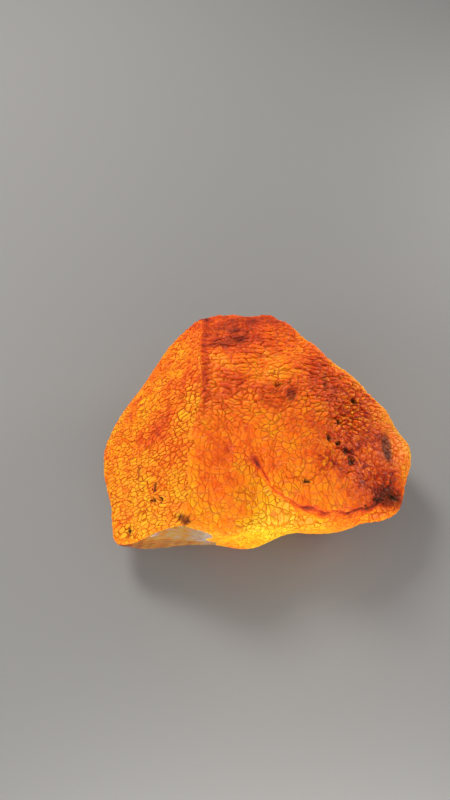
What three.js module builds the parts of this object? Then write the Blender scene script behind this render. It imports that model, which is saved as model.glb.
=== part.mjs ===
// A lump of raw Baltic amber, millimetres, +Z up, lying on the flat patch worn under it.
//
// The lump is one natural piece, so it is one mesh. Its shape is a stone shape: a set of broad worn
// facets with rounded meetings, a step broken out of one shoulder, a raised lobe with a chipped bank
// below it, a blunt nose, and a shell-shaped fresh break at one front corner. Each of these is a simple
// solid, and depthAt() blends them into one signed depth: below zero inside the amber, above zero
// outside it. The mesh is a box whose grid points are moved out from the heart of the lump until that
// depth is zero.

import * as THREE from 'three';
import { mergeVertices } from 'three/addons/utils/BufferGeometryUtils.js';

// ---- Driving dimensions: millimetres and degrees ----

const HEART = new THREE.Vector3(0, 0, 16); // the inner point that every distance is measured from
const GRID = 27; // squares along one edge of the box that the skin is made from
const STRETCH = new THREE.Vector3(42, 33, 18); // half sizes that spread those squares evenly
const REACH = 75; // no point of the lump is further than this from its heart
const HALVINGS = 30; // steps of the search for the skin along one direction
const FLAT = 1e-4; // a point this near the resting plane lies on it

// Worn facets. turn is the direction that the facet faces, seen from above and counted from +X towards
// +Y. rise is how far it looks up. out is its distance from the heart, and soft is how rounded it meets
// the facets listed before it. The facets on the left make one broad plain of their own, which meets all
// the others in a sharp ridge.
const RIDGE_SOFT = 0.8;
const LEFT_FACETS = [
  { name: 'left front', turn: 203, rise: 53, out: 22.3, soft: 1 },
  { name: 'left back', turn: 161, rise: 41, out: 26.5, soft: 7 },
  { name: 'left', turn: 194, rise: 2, out: 42.5, soft: 2 },
  { name: 'left shoulder', turn: 161, rise: 8, out: 41.7, soft: 5 },
];
const FACETS = [
  { name: 'front slope', turn: 268, rise: 71, out: 15.8, soft: 6 },
  { name: 'crest', turn: 85, rise: 74, out: 20.5, soft: 5 },
  { name: 'far slope', turn: 90, rise: 42, out: 31.9, soft: 3 },
  { name: 'right slope', turn: -16, rise: 60, out: 21.4, soft: 4 },
  { name: 'rim strip', turn: 40, rise: 38, out: 28.5, soft: 1.2 },
  { name: 'back', turn: 93, rise: 0, out: 39.8, soft: 5 },
  { name: 'back left', turn: 143, rise: 10, out: 35.4, soft: 3 },
  { name: 'right', turn: -14, rise: 0, out: 46.6, soft: 4 },
  { name: 'right end', turn: 21, rise: 4, out: 38, soft: 5 },
  { name: 'corner', turn: -44, rise: 4, out: 49, soft: 4 },
  { name: 'front right', turn: -79, rise: 4, out: 30, soft: 4 },
  { name: 'front wall', turn: -88, rise: -6, out: 27.5, soft: 1.5 },
  { name: 'belly right', turn: -20, rise: -42, out: 32.4, soft: 5 },
  { name: 'belly left', turn: 190, rise: -46, out: 34, soft: 5 },
  { name: 'belly back', turn: 90, rise: -38, out: 27, soft: 8 },
  { name: 'belly front', turn: -80, rise: -50, out: 27, soft: 6 },
];

// The step broken out of the back right shoulder: the amber stays inside one wall or inside the other.
const NOTCH_WALL = { turn: 47, rise: 2, out: 27.6 };
const NOTCH_BLOCK = { turn: 14, rise: 10, out: 15 };
const NOTCH_INNER_SOFT = 1.2;
const NOTCH_OUTER_SOFT = 2.2;

// The chipped bank at the front right, and the lobe above it that was left standing. The chip is at least
// one step deep all along the lobe's lip, and deeper where its own plane lies lower.
const CHIP = { turn: -76, rise: 46, out: 20.8 };
const CHIP_STEP = 1.5;
const CHIP_SOFT = 1;
const CHIP_START_X = -3; // the middle of the chip's fade into the front slope
const CHIP_FADE_X = 10;
const CHIP_END_X = 32; // the middle of its fade out towards the right end
const CHIP_END_FADE_X = 12;
const CHIP_START_Y = -11.5; // the middle of its fade behind the lip's highest point
const CHIP_FADE_Y = 3;
const LOBE = { x: 17.5, y: -8, halfX: 18.5, halfY: 15.3 };
const LIP = 1.3; // width of the step down from the lobe to the chip

// The blunt nose at the middle of the front.
const NOSE = {
  centre: new THREE.Vector3(-4.5, -16, 9),
  half: new THREE.Vector3(13.5, 12.2, 13),
  soft: 3,
};

// The fresh break at the front left corner is a piece of the inside of a large ball.
const SCOOP = { centre: new THREE.Vector3(-25, -66.5, 28), radius: 40.6, soft: 0.8 };

// Slow swells that keep the facets from being true planes: radians per millimetre, a phase in radians,
// and a height.
const SWELLS = [
  { wave: new THREE.Vector3(0.21, 0.05, 0.10), phase: 0.4, height: 0.22 },
  { wave: new THREE.Vector3(-0.08, 0.26, 0.12), phase: 1.9, height: 0.22 },
  { wave: new THREE.Vector3(0.15, -0.19, 0.24), phase: 3.1, height: 0.20 },
  { wave: new THREE.Vector3(0.37, 0.22, -0.18), phase: 5.0, height: 0.16 },
  { wave: new THREE.Vector3(-0.29, 0.41, 0.20), phase: 2.2, height: 0.14 },
  { wave: new THREE.Vector3(0.52, -0.36, 0.33), phase: 0.9, height: 0.10 },
];

const AMBER_COLOUR = 0xd9741c;
const AMBER_ROUGHNESS = 0.45;

// ---- Blending of solids ----

// The larger of two depths, with a rounded meeting of the given width: what is inside both solids.
function insideBoth(a, b, soft) {
  const near = Math.max(soft - Math.abs(a - b), 0) / soft;
  return Math.max(a, b) + near * near * soft * 0.25;
}

// The smaller of two depths, rounded in the same way: what is inside either solid.
function insideEither(a, b, soft) {
  return -insideBoth(-a, -b, soft);
}

// A curve that goes smoothly from 0 to 1 as t does.
function fade(t) {
  return THREE.MathUtils.smoothstep(t, 0, 1);
}

// A facet as a normal and its distance from the heart.
function facetPlane({ turn, rise, out }) {
  const polar = THREE.MathUtils.degToRad(90 - rise);
  const around = THREE.MathUtils.degToRad(turn);
  const normal = new THREE.Vector3(
    Math.sin(polar) * Math.cos(around),
    Math.sin(polar) * Math.sin(around),
    Math.cos(polar),
  );
  return { normal, out };
}

// The same, with the softness that it meets its neighbours with.
function softPlane(facet) {
  return { ...facetPlane(facet), soft: facet.soft };
}

// Signed distance of a point, given from the heart, to a facet.
function pastPlane(plane, fromHeart) {
  return plane.normal.dot(fromHeart) - plane.out;
}

const notchWall = facetPlane(NOTCH_WALL);
const notchBlock = facetPlane(NOTCH_BLOCK);
const chipPlane = facetPlane(CHIP);

// ---- The shape of the lump ----

const leftPlanes = LEFT_FACETS.map(softPlane);
const otherPlanes = FACETS.map(softPlane);

// Depth inside a list of facets, each blended with the ones before it.
function insideAll(planes, fromHeart) {
  return planes.reduce(
    (depth, plane) => insideBoth(depth, pastPlane(plane, fromHeart), plane.soft),
    -Infinity,
  );
}

// Depth inside the worn facets and the notch: the lump before anything was chipped off it.
function wornDepth(fromHeart) {
  const worn = insideBoth(
    insideAll(otherPlanes, fromHeart),
    insideAll(leftPlanes, fromHeart),
    RIDGE_SOFT,
  );
  const wall = pastPlane(notchWall, fromHeart);
  const block = pastPlane(notchBlock, fromHeart);
  return insideBoth(worn, insideEither(wall, block, NOTCH_INNER_SOFT), NOTCH_OUTER_SOFT);
}

// How much the chip takes off at a point: nothing on the lobe, to the left of the chip's start, behind it
// or past its right end, and otherwise one step, or down to the chip's own plane where that lies lower.
function chipCut(point, fromHeart, worn) {
  const acrossLobe = Math.hypot((point.x - LOBE.x) / LOBE.halfX, (point.y - LOBE.y) / LOBE.halfY) - 1;
  const beyondLobe = fade((acrossLobe * Math.min(LOBE.halfX, LOBE.halfY)) / LIP);
  const rightOfStart = fade((point.x - CHIP_START_X) / CHIP_FADE_X + 0.5);
  const leftOfEnd = fade((CHIP_END_X - point.x) / CHIP_END_FADE_X + 0.5);
  const beforeStart = fade((CHIP_START_Y - point.y) / CHIP_FADE_Y + 0.5);
  const cut = insideBoth(pastPlane(chipPlane, fromHeart) - worn, CHIP_STEP, CHIP_SOFT);
  return cut * beyondLobe * rightOfStart * leftOfEnd * beforeStart;
}

// Depth inside the nose, an ellipsoid.
function noseDepth(point) {
  const scaled = point.clone().sub(NOSE.centre).divide(NOSE.half);
  return (scaled.length() - 1) * Math.min(NOSE.half.x, NOSE.half.y, NOSE.half.z);
}

// The sum of the slow swells at a point.
function swell(point) {
  return SWELLS.reduce(
    (sum, { wave, phase, height }) => sum + height * Math.sin(wave.dot(point) + phase),
    0,
  );
}

function depthAt(point) {
  const fromHeart = point.clone().sub(HEART);
  let depth = wornDepth(fromHeart);
  depth += chipCut(point, fromHeart, depth);
  depth = insideEither(depth, noseDepth(point), NOSE.soft);
  depth = insideBoth(depth, SCOOP.radius - point.distanceTo(SCOOP.centre), SCOOP.soft);
  depth += swell(point);
  return Math.max(depth, -point.z); // the flat patch that the lump rests on
}

// The point of the skin in one direction from the heart, found by halving.
function skinPoint(direction) {
  const point = new THREE.Vector3();
  let inside = 0;
  let outside = REACH;
  for (let i = 0; i < HALVINGS; i += 1) {
    const middle = (inside + outside) / 2;
    point.copy(HEART).addScaledVector(direction, middle);
    if (depthAt(point) < 0) inside = middle;
    else outside = middle;
  }
  if (point.z < FLAT) point.z = 0;
  return point;
}

// ---- The mesh ----

// A box's grid is spread evenly in angle, pulled to the lump's proportions, and laid on the skin.
function lumpGeometry() {
  const box = new THREE.BoxGeometry(2, 2, 2, GRID, GRID, GRID);
  box.deleteAttribute('normal');
  box.deleteAttribute('uv');
  const geometry = mergeVertices(box);
  const places = geometry.getAttribute('position');
  const direction = new THREE.Vector3();
  for (let i = 0; i < places.count; i += 1) {
    direction.fromBufferAttribute(places, i);
    direction.set(...direction.toArray().map((side) => Math.tan((side * Math.PI) / 4)));
    direction.normalize().multiply(STRETCH).normalize();
    places.setXYZ(i, ...skinPoint(direction).toArray());
  }
  return geometry;
}

// The origin goes under the middle of the lump, on the plane that it rests on.
function centreOverOrigin(geometry) {
  geometry.computeBoundingBox();
  const middle = geometry.boundingBox.getCenter(new THREE.Vector3());
  geometry.translate(-middle.x, -middle.y, 0);
  geometry.computeVertexNormals();
  return geometry;
}

function rawAmber() {
  const material = new THREE.MeshStandardMaterial({
    color: AMBER_COLOUR,
    roughness: AMBER_ROUGHNESS,
    metalness: 0,
  });
  const lump = new THREE.Mesh(centreOverOrigin(lumpGeometry()), material);
  lump.name = 'amber_lump';
  return lump;
}

const part = new THREE.Group();
part.add(rawAmber());

export default part;
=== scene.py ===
# %% [markdown]
# # A lump of raw amber
#
# Raw amber is a hard, warm-coloured resin that lay in the ground for tens of millions of years. It is
# clear honey inside, and it wears a crust: the outside dried, darkened and cracked into small plates, as
# mud does. Where the lump was broken later, the break is bare glassy resin with curved ribs.
#
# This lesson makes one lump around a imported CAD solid, which fixes its size and place. The steps are the
# camera, the floor and the light, the shape, the crackled skin, what is sealed inside, and the finishes.

import math

import bpy
import numpy as np
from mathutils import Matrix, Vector


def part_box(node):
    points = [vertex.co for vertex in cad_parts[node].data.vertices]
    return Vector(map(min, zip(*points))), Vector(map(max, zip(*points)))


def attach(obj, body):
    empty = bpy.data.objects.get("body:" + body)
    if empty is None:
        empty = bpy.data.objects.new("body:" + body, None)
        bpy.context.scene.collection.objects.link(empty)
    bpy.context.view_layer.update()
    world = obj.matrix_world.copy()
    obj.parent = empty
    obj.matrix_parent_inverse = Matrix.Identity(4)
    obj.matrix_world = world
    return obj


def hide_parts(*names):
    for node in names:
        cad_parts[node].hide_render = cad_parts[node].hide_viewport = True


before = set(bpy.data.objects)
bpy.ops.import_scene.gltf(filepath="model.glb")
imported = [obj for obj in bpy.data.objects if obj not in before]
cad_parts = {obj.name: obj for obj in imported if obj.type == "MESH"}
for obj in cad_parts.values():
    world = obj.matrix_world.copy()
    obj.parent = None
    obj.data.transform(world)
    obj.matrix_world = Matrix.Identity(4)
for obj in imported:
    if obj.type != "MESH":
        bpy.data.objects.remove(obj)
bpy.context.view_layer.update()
LOW, HIGH = (np.array(corner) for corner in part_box("amber_lump"))
MM = 0.001
print("CAD box in mm:", (LOW / MM).round(1), (HIGH / MM).round(1))

# %% [markdown]
# ## Camera
#
# The lump is seen from above and in front, as somebody who bends over a table sees it. A camera's place
# could be typed in as three numbers, but it is easier to think in the terms of a photographer: what the
# camera looks at, how steeply it looks down, and how far away it is. The lens is short, so that the near
# edge of the lump looks a little larger than the far one.

# %% Camera
HEART = np.array([0.62, -3.09, 16.0])  # the inner point that the lump's distances are measured from, mm
LOOK_DOWN = math.radians(62)
VIEW_DISTANCE = 160.0  # mm
SLIDE_LEFT = 8.7  # how far the camera's axis passes the heart on the left, mm
SLIDE_UP = 10.0  # and above it
LENS = 26.55  # mm
SENSOR = 36.0  # height of the sensor, mm
NEAREST = 5.0  # what is nearer than this isn't drawn, mm


def make_camera():
    """Heart, plus a slide in the picture's plane, minus the viewing distance along the view."""
    right = np.array([1.0, 0.0, 0.0])
    up = np.array([0.0, math.sin(LOOK_DOWN), math.cos(LOOK_DOWN)])
    view = np.array([0.0, math.cos(LOOK_DOWN), -math.sin(LOOK_DOWN)])
    place = HEART - SLIDE_LEFT * right + SLIDE_UP * up - VIEW_DISTANCE * view
    data = bpy.data.cameras.new("camera")
    data.lens = LENS
    data.sensor_width = SENSOR
    data.clip_start = NEAREST * MM
    camera = bpy.data.objects.new("camera", data)
    camera.location = place * MM
    camera.rotation_euler = (math.pi / 2 - LOOK_DOWN, 0.0, 0.0)
    bpy.context.scene.collection.objects.link(camera)
    bpy.context.scene.camera = camera
    return camera


camera = make_camera()
print("camera at", [round(c / MM) for c in camera.location], "mm")

# %% [markdown]
# ## Floor and light
#
# Amber comes alive with light behind it. A large soft lamp behind and above rakes over the crust and shows
# its relief, and a pale world fills the shadows. A low soft lamp in front sends light in at the near edge,
# so that the resin there glows yellow, and the light turns orange and red on its way through. Two weak
# ones, at the left and at the back right, do the same for the sides. The floor is a plain pale sheet, a
# hair below the lump, so that the two flat faces don't lie in one plane.

# %% Floor and light
FLOOR_GAP = 0.15  # mm
FLOOR_HALF = 1500.0  # mm
FLOOR_COLOUR = (0.165, 0.178, 0.198, 1.0)
FLOOR_ROUGHNESS = 0.8
WORLD_COLOUR = (1.0, 0.93, 0.84, 1.0)
WORLD_STRENGTH = 0.5

LAMP_COLOUR = (1.0, 0.90, 0.77)
# name: (place in mm, point it faces in mm, width and height in mm, power in watts)
LAMPS = {
    "overhead": ((-190, 260, 330), (0, 0, 20), (150, 150), 2.1),
    "front_low": ((10, -150, 30), (0, 0, 12), (170, 50), 0.29),
    "side_low": ((-230, -40, 90), (0, 0, 15), (120, 120), 0.23),
    "rim_low": ((210, 110, 70), (25, 0, 18), (110, 90), 0.40),
}


def node_material(name):
    """An empty node material and its tree."""
    material = bpy.data.materials.new(name)
    material.use_nodes = True
    material.node_tree.nodes.clear()
    return material, material.node_tree


def make_floor():
    """A flat square with a plain pale finish."""
    corners = np.array([[-1, -1, 0], [1, -1, 0], [1, 1, 0], [-1, 1, 0]]) * FLOOR_HALF
    corners = corners - [0, 0, FLOOR_GAP]
    mesh = bpy.data.meshes.new("floor")
    mesh.from_pydata((corners * MM).tolist(), [], [(0, 1, 2, 3)])
    floor = bpy.data.objects.new("floor", mesh)
    material, tree = node_material("pale paper")
    shader = tree.nodes.new("ShaderNodeBsdfPrincipled")
    shader.inputs["Base Color"].default_value = FLOOR_COLOUR
    shader.inputs["Roughness"].default_value = FLOOR_ROUGHNESS
    output = tree.nodes.new("ShaderNodeOutputMaterial")
    tree.links.new(shader.outputs[0], output.inputs["Surface"])
    mesh.materials.append(material)
    bpy.context.scene.collection.objects.link(floor)
    return floor


def make_lamp(name, place, target, size, power):
    """A soft rectangular lamp that faces its target and isn't seen itself."""
    data = bpy.data.lights.new(name, "AREA")
    data.shape = "RECTANGLE"
    data.size, data.size_y = (side * MM for side in size)
    data.energy = power
    data.color = LAMP_COLOUR
    lamp = bpy.data.objects.new(name, data)
    lamp.location = Vector(place) * MM
    aim = (Vector(target) - Vector(place)).to_track_quat("-Z", "Y")
    lamp.rotation_euler = aim.to_euler()
    lamp.visible_camera = False
    bpy.context.scene.collection.objects.link(lamp)
    return lamp


def make_world():
    """An even pale light from all round."""
    world = bpy.data.worlds.new("soft room")
    world.use_nodes = True
    background = world.node_tree.nodes["Background"]
    background.inputs["Color"].default_value = WORLD_COLOUR
    background.inputs["Strength"].default_value = WORLD_STRENGTH
    bpy.context.scene.world = world


make_floor()
for lamp_name, facts in LAMPS.items():
    make_lamp(lamp_name, *facts)
make_world()
bpy.context.scene.view_settings.view_transform = "Standard"
print("lamps:", ", ".join(LAMPS))

# %% [markdown]
# ## The worn shape
#
# The lump isn't a blob: it has broad worn facets, a long sharp ridge beside the plain on its left, a step
# broken out of one shoulder, a lobe with a chipped bank below it, a blunt nose and a hollow, shell-shaped
# break. Sculpting would get there, but nobody could repeat it. Instead each feature is a simple solid with
# a signed depth, below zero inside and above zero outside, and the depths are blended. The CAD solid was
# made from the same recipe.

# %% Driving sizes of the shape
# name: (turn of the facet's normal in plan, its rise, distance from the heart, softness), degrees and mm
LEFT_FACETS = {
    "left_front": (203, 53, 22.3, 1),
    "left_back": (161, 41, 26.5, 7),
    "left": (194, 2, 42.5, 2),
    "left_shoulder": (161, 8, 41.7, 5),
}
RIDGE_SOFT = 0.8  # the facets on the left make one plain, which meets all the others in a sharp ridge
FACETS = {
    "front_slope": (268, 71, 15.8, 6),
    "crest": (85, 74, 20.5, 5),
    "far_slope": (90, 42, 31.9, 3),
    "right_slope": (-16, 60, 21.4, 4),
    "rim_strip": (40, 38, 28.5, 1.2),
    "back": (93, 0, 39.8, 5),
    "back_left": (143, 10, 35.4, 3),
    "right": (-14, 0, 46.6, 4),
    "right_end": (21, 4, 38.0, 5),
    "corner": (-44, 4, 49.0, 4),
    "front_right": (-79, 4, 30.0, 4),
    "front_wall": (-88, -6, 27.5, 1.5),
    "belly_right": (-20, -42, 32.4, 5),
    "belly_left": (190, -46, 34, 5),
    "belly_back": (90, -38, 27, 8),
    "belly_front": (-80, -50, 27, 6),
}
NOTCH_WALL, NOTCH_BLOCK, NOTCH_SOFT = (47, 2, 27.6), (14, 10, 15.0), (1.2, 2.2)
CHIP, CHIP_STEP, CHIP_SOFT = (-76, 46, 20.8), 1.5, 1.0
CHIP_START_X, CHIP_FADE_X = -3.0, 10.0
CHIP_END_X, CHIP_END_FADE_X = 32.0, 12.0
CHIP_START_Y, CHIP_FADE_Y = -11.5, 3.0
LOBE_MIDDLE, LOBE_HALF, LIP = np.array([17.5, -8.0]), np.array([18.5, 15.3]), 1.3
LIP_WAVE, LIP_WAVE_TURN, LIP_WAVE_PHASE = 0.25, 1.1, 0.6  # mm, radians per mm, radians
LIP_WAVE_FOOT, LIP_WAVE_GROWTH = 18.0, 4.0  # the wave begins at this height and grows over this much, mm
NOSE_MIDDLE, NOSE_HALF, NOSE_SOFT = np.array([-4.5, -16, 9]), np.array([13.5, 12.2, 13]), 3.0
SCOOP_MIDDLE, SCOOP_RADIUS, SCOOP_SOFT = np.array([-25.0, -66.5, 28.0]), 40.6, 0.8
# wave vector in radians per mm, phase, height in mm
SWELLS = (
    ((0.21, 0.05, 0.10), 0.4, 0.22),
    ((-0.08, 0.26, 0.12), 1.9, 0.22),
    ((0.15, -0.19, 0.24), 3.1, 0.20),
    ((0.37, 0.22, -0.18), 5.0, 0.16),
    ((-0.29, 0.41, 0.20), 2.2, 0.14),
    ((0.52, -0.36, 0.33), 0.9, 0.10),
)
MAKING_HEART = np.array([0.0, 0.0, 16.0])  # the heart, before the lump is centred over its origin
print(len(LEFT_FACETS), "facets on the left,", len(FACETS), "others and", len(SWELLS), "slow swells")

# %% [markdown]
# ## Blending depths
#
# A point is inside two solids at once if it is inside the one that reaches less far there, so the larger
# depth counts. A plain maximum would leave knife edges, so within a few millimetres of a meeting the two
# depths are mixed, which rounds the edge by as much as that facet's softness says.

# %% Depth of the lump
def inside_both(a, b, soft):
    """The larger depth; within soft of each other the two blend, and the meeting is rounded."""
    near = np.maximum(soft - np.abs(a - b), 0) / soft
    return np.maximum(a, b) + near * near * soft / 4


def inside_either(a, b, soft):
    """The smaller depth, with the same rounding."""
    return -inside_both(-a, -b, soft)


def fade(t):
    """0 below 0, 1 above 1, and 3t^2 - 2t^3 between."""
    t = np.clip(t, 0, 1)
    return t * t * (3 - 2 * t)


def past_plane(q, turn, rise, out):
    """q dot n minus the plane's distance, for points q measured from the heart."""
    turn, rise = math.radians(turn), math.radians(rise)
    across = math.cos(rise)
    normal = np.array([across * math.cos(turn), across * math.sin(turn), math.sin(rise)])
    return q @ normal - out


def inside_all(facets, q):
    """Depth inside a list of facets, each blended with the ones before it."""
    depth = np.full(q.shape[:-1], -1e3)
    for turn, rise, out, soft in facets.values():
        depth = inside_both(depth, past_plane(q, turn, rise, out), soft)
    return depth


def past_the_lobe(p):
    """How far a point lies outside the lobe's ellipse in plan, with an edge that wavers high up."""
    past = (np.linalg.norm((p[..., :2] - LOBE_MIDDLE) / LOBE_HALF, axis=-1) - 1) * LOBE_HALF.min()
    wave = LIP_WAVE * np.sin(p[..., 0] * LIP_WAVE_TURN + LIP_WAVE_PHASE)
    return past + wave * fade((p[..., 2] - LIP_WAVE_FOOT) / LIP_WAVE_GROWTH)


def layers_at(p):
    """The depths that the shape is blended from, and how far points lie past the ridge and the lobe."""
    q = p - MAKING_HEART
    plain, others = inside_all(LEFT_FACETS, q), inside_all(FACETS, q)
    step = inside_either(past_plane(q, *NOTCH_WALL), past_plane(q, *NOTCH_BLOCK), NOTCH_SOFT[0])
    worn = inside_both(inside_both(others, plain, RIDGE_SOFT), step, NOTCH_SOFT[1])
    past_lobe = past_the_lobe(p)
    in_front = fade((CHIP_START_Y - p[..., 1]) / CHIP_FADE_Y + 0.5)
    past_start = fade((p[..., 0] - CHIP_START_X) / CHIP_FADE_X + 0.5)
    before_end = fade((CHIP_END_X - p[..., 0]) / CHIP_END_FADE_X + 0.5)
    opened = fade(past_lobe / LIP) * past_start * before_end * in_front
    cut = inside_both(past_plane(q, *CHIP) - worn, np.full_like(worn, CHIP_STEP), CHIP_SOFT) * opened
    nose = (np.linalg.norm((p - NOSE_MIDDLE) / NOSE_HALF, axis=-1) - 1) * NOSE_HALF.min()
    chipped = inside_either(worn + cut, nose, NOSE_SOFT)
    scoop = SCOOP_RADIUS - np.linalg.norm(p - SCOOP_MIDDLE, axis=-1)
    return {
        "worn": worn,
        "past_ridge": others - plain,
        "past_lobe": past_lobe,
        "opened": opened,
        "chipped": chipped,
        "scoop": scoop,
        "whole": inside_both(chipped, scoop, SCOOP_SOFT),
    }


def depth_at(p):
    """Signed depth of the lump at points p in mm."""
    depth = layers_at(p)["whole"]
    for wave, phase, height in SWELLS:
        depth = depth + height * np.sin(p @ np.array(wave) + phase)
    return np.maximum(depth, -p[..., 2])


print("depth at the heart:", round(float(depth_at(MAKING_HEART[None])[0]), 1), "mm")

# %% [markdown]
# ## A skin of small squares
#
# The skin is a box whose six sides are grids of two parameters each. Spread evenly in angle, pulled to the
# lump's proportions and aimed out from the heart, its points become directions, and each direction is
# followed out until the depth is zero. A sphere of meridians would pinch at its poles, and a box's grid
# doesn't.

# %% Skin
GRID = (184, 144, 68)  # squares along X, Y and Z
STRETCH = np.array([42.0, 33.0, 18.0])  # half sizes that spread the squares evenly, mm
REACH = 75.0  # mm
HALVINGS = 26


def box_grid(counts):
    """Points on the six sides of a box from -1 to 1, and the squares between them, facing out."""
    lattice = np.indices([n + 1 for n in counts])
    ends = np.array(counts).reshape(3, 1, 1, 1)
    on_side = ((lattice == 0) | (lattice == ends)).any(0)
    number = np.full(on_side.shape, -1)
    number[on_side] = np.arange(on_side.sum())
    points = lattice[:, on_side].T / np.array(counts) * 2 - 1
    sides = (
        number[:, :, -1],
        number[::-1, :, 0],
        number[-1, :, :],
        number[0, ::-1, :],
        number[:, -1, :].T,
        number[:, 0, :].T[::-1],
    )
    corners = [(s[:-1, :-1], s[1:, :-1], s[1:, 1:], s[:-1, 1:]) for s in sides]
    return points, np.concatenate([np.stack(four, -1).reshape(-1, 4) for four in corners])


def unit(vectors):
    """Each vector over its length."""
    return vectors / np.maximum(np.linalg.norm(vectors, axis=-1, keepdims=True), 1e-12)


def follow_out(directions):
    """The point along each direction from the heart where the depth is zero, by halving."""
    near, far = np.zeros(len(directions)), np.full(len(directions), REACH)
    for _ in range(HALVINGS):
        middle = (near + far) / 2
        inside = depth_at(MAKING_HEART + middle[:, None] * directions) < 0
        near, far = np.where(inside, middle, near), np.where(inside, far, middle)
    return MAKING_HEART + near[:, None] * directions


def outward(points, squares):
    """The mean normal at each point, from the crossed diagonals of the squares around it."""
    normals = np.zeros_like(points)
    a, b, c, d = points[squares.T]
    across = np.cross(c - a, d - b)
    for corner in squares.T:
        np.add.at(normals, corner, across)
    return unit(normals)


box_points, squares = box_grid(GRID)
made = follow_out(unit(unit(np.tan(box_points * math.pi / 4)) * STRETCH))
layers = layers_at(made)
print(len(made), "points,", 2 * len(squares), "triangles, box", np.ptp(made, axis=0).round(1), "mm")

# %% [markdown]
# ## Where the lump lies
#
# The lump has been worked out around a making point. Now it is centred over the origin and fitted to the
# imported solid's box, a change of well under a hundredth, so that the two agree exactly.

# %% Fit to the frame
def fit_to_frame(points):
    """Each axis is stretched and moved so that the points' box is the CAD box, in mm."""
    low, high = points.min(0), points.max(0)
    return LOW / MM + (points - low) * ((HIGH - LOW) / MM) / (high - low)


skin = fit_to_frame(made)
skin_x, skin_y, skin_z = skin.T
print("box after fitting, mm:", skin.min(0).round(2), skin.max(0).round(2))

# %% [markdown]
# ## Zones
#
# A crust isn't the same all over. The plain on the left is cracked into small bricks. The top is rough,
# with scales like a lizard's. The right plateau is grainy, because its crust began to crumble. On the
# bank the crust is young and thin. Each zone is a number from 0 to 1 at every point, found from how deep
# the point lies past a feature of the shape, or from a soft blob around a middle. The plain's edge wanders
# in front, where its ridge fades out.

# %% Masks
# Painted glow: skin on the right that faces this way is painted lighter, for light that shines out there.
RIM_GLOW_WAY = np.array([0.72, 0.55, 0.0])  # the way that the bright rim on the right faces
RIDGE_SLANT = 0.53  # depth past the ridge for each mm of way across it
EDGE_WANDER = 1.8  # how far the plain's edge strays in front, mm
BREAK_MIDDLE, BREAK_REACH = (-23.0, 12.0), (13.0, 14.0)  # the break's lower end, seen from the front, mm
BREAK_WANDER, BREAK_EDGE = 0.03, 0.05  # shares of that reach
BREAK_BLEND = 0.5  # mm
# The lip's line is painted shade under the step of the lobe.
LIP_LINE, LIP_WIDTH, LIP_UNEVEN = 0.3, 0.55, 0.12  # where past the lobe the lip's line runs, its width, mm
GRIT_ZONES = (((25, -3, 27), (7, 11, 9)), ((17, -15, 28), (4, 2.5, 5)), ((30, -18, 20), (7, 5, 6)))
RAGGED_ZONE = ((33, -22, 15), (9, 7, 8))


def blob(points, middle, reach):
    """exp(-r^2), with r the distance from the middle counted in reaches."""
    return np.exp(-(((points - np.array(middle)) / np.array(reach)) ** 2).sum(-1))


def grow(value, start, width):
    """0 up to the start, 1 from a width beyond it, and a smooth fade between."""
    return fade((value - start) / width)


def wander(p, wavelength, seed, waves=8):
    """A smooth random field, mostly between -1 and 1: a sum of sine waves in random directions."""
    draw = np.random.default_rng(seed)
    ways = unit(draw.normal(size=(waves, 3))) * draw.uniform(0.7, 1.4, (waves, 1))
    ways = ways * 2 * math.pi / wavelength
    return np.sin(p @ ways.T + draw.uniform(0, 2 * math.pi, waves)).sum(-1) / math.sqrt(waves)


def facet_share(name, width=2.2):
    """1 on a facet, fading to 0 where the lump lies a width behind it."""
    turn, rise, out, _ = (LEFT_FACETS | FACETS)[name]
    return fade((past_plane(made - MAKING_HEART, turn, rise, out) - layers["worn"]) / width + 1)


facing = outward(skin, squares)
past_ridge = layers["past_ridge"] / RIDGE_SLANT
plain_edge = EDGE_WANDER * wander(skin, 5.0, seed=59) * grow(-skin_y, 1, 8)
plain = (past_ridge < plain_edge) * 1.0
bank = layers["opened"]
upper = grow(skin_y, -12, 12) * (1 - plain) * grow(skin_z, 20, 6)
# Painted glow on the right rim: lighter where the skin faces the rim's way.
rim_painted_glow = grow(facing @ RIM_GLOW_WAY, 0.32, 0.25) * grow(skin_x, 8, 6) * grow(skin_z, 8, 6)
grit = np.clip(sum(blob(skin, *zone) for zone in GRIT_ZONES), 0, 1)
ragged = blob(skin, *RAGGED_ZONE)
print("the plain has", round(100 * plain.mean(), 1), "% of the points")

# %% [markdown]
# ## The break and the lip
#
# Two zones need more care. The fresh break is where the scoop went deeper than everything else, and it
# goes on down the front wall to a round lower end. The lip is the edge of the lobe, and a dark line of
# uneven width is painted along it: painted shade under the lip's step.

# %% The break and the lip
from_break = np.linalg.norm((skin[:, [0, 2]] - BREAK_MIDDLE) / BREAK_REACH, axis=-1)
from_break = from_break + BREAK_WANDER * wander(skin, 6.0, seed=60)
below_scoop = (1 - grow(from_break, 1 - BREAK_EDGE, BREAK_EDGE)) * grow(-facing[:, 1], 0.5, 0.3)
in_scoop = fade((layers["scoop"] - layers["chipped"]) / BREAK_BLEND + 0.5)
fresh = np.maximum(in_scoop, below_scoop) * grow(skin_z, 0.2, 0.8)
crusty = 1 - fresh
# Painted shade: a dark line of uneven width along the lip, where the lobe's step would be in shade.
lip_width = LIP_WIDTH + LIP_UNEVEN * wander(skin, 4.0, seed=61)
lip_painted_shade = np.exp(-(((layers["past_lobe"] - LIP_LINE) / lip_width) ** 2))
lip_painted_shade = lip_painted_shade * grow(bank, -0.04, 0.2) * grow(skin_z, 16, 3) * grow(-skin_y, 13, 2)
lip_painted_shade = lip_painted_shade * (0.9 + 0.2 * wander(skin, 5.0, seed=62))
print("the fresh break has", round(100 * fresh.mean(), 1), "% of the points")
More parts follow.
